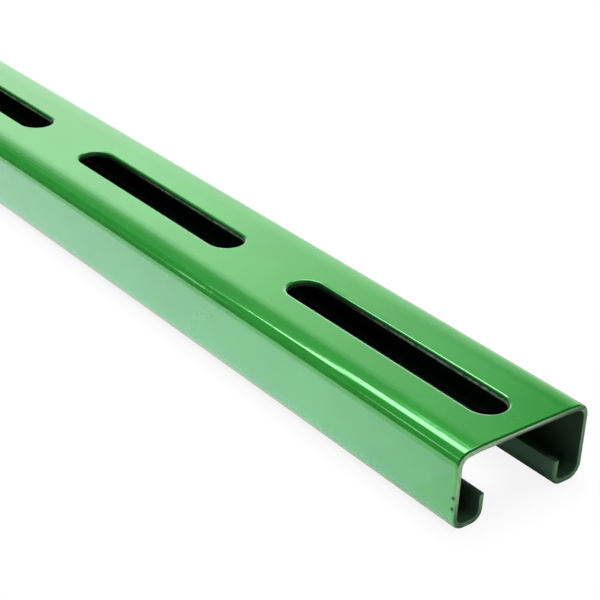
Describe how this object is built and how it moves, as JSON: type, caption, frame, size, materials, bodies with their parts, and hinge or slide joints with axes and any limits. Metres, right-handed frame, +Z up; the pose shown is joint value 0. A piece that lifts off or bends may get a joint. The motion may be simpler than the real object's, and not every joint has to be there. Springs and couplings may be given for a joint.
{
  "type": "strut channel",
  "caption": "Shallow slotted strut channel: rolled steel with in-turned lips and long slots in its web, painted green, for framing and supports.",
  "frame": {"origin": "middle of the footprint, at floor level under the two feet", "axes": "+X along the length, towards the end whose first slot lies nearer the cut; +Y across the width; +Z up, out of the slotted web"},
  "size_m": [0.6096, 0.0412, 0.0206],
  "materials": {
    "green_enamel": "gloss"
  },
  "bodies": {
    "root": {"strut_channel": "green_enamel"}
  },
  "joints": []
}
